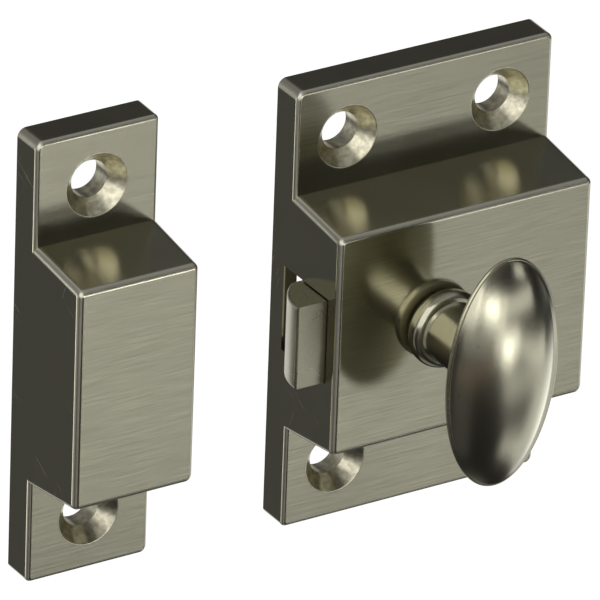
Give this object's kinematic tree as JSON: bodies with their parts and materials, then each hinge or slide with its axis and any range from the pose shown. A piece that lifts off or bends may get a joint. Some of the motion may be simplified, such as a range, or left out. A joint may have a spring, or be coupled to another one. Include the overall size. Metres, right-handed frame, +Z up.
{
  "type": "cupboard catch latch",
  "caption": "Satin nickel cupboard catch: a box latch with a spring bolt worked by an oval turn knob, and the matching box strike that the bolt enters.",
  "frame": {"origin": "middle of the latch's four screw holes, on the door face behind the latch", "axes": "+X to the right along the door face, away from the strike, +Y into the door, +Z up; the front and the knob face -Y"},
  "size_m": [0.0617, 0.0278, 0.0522],
  "materials": {
    "satin_nickel": "satin, brushed along the width",
    "bright_nickel": "smooth plated",
    "knob_nickel": "polished satin",
    "zinc_plated_steel": "zinc plated",
    "spring_steel": "drawn wire"
  },
  "bodies": {
    "latch": {"latch_case": "satin_nickel", "back_plate": "zinc_plated_steel", "bolt_spring": "spring_steel", "strike": "satin_nickel"},
    "knob": {"turn_knob": "knob_nickel", "knob_spindle": "zinc_plated_steel", "retractor_cam": "zinc_plated_steel", "spindle_clip": "spring_steel"},
    "bolt": {"latch_bolt": "bright_nickel"}
  },
  "joints": [
    {"name": "knob_turn", "type": "hinge", "parent": "latch", "child": "knob", "pos_m": [-0.0028, -0.0128, 0], "axis": [0, 1, 0], "range_deg": [0, 60], "stiffness_Nm_per_rad": 0.004, "springref_deg": -34.38},
    {"name": "bolt_slide", "type": "slide", "parent": "latch", "child": "bolt", "axis": [1, 0, 0], "range_m": [0, 0.0035], "deforming": ["bolt_spring"]}
  ],
  "couplings": [
    {"joint": "knob_turn", "follows": "bolt_slide", "rad_per_m": 299.19}
  ]
}
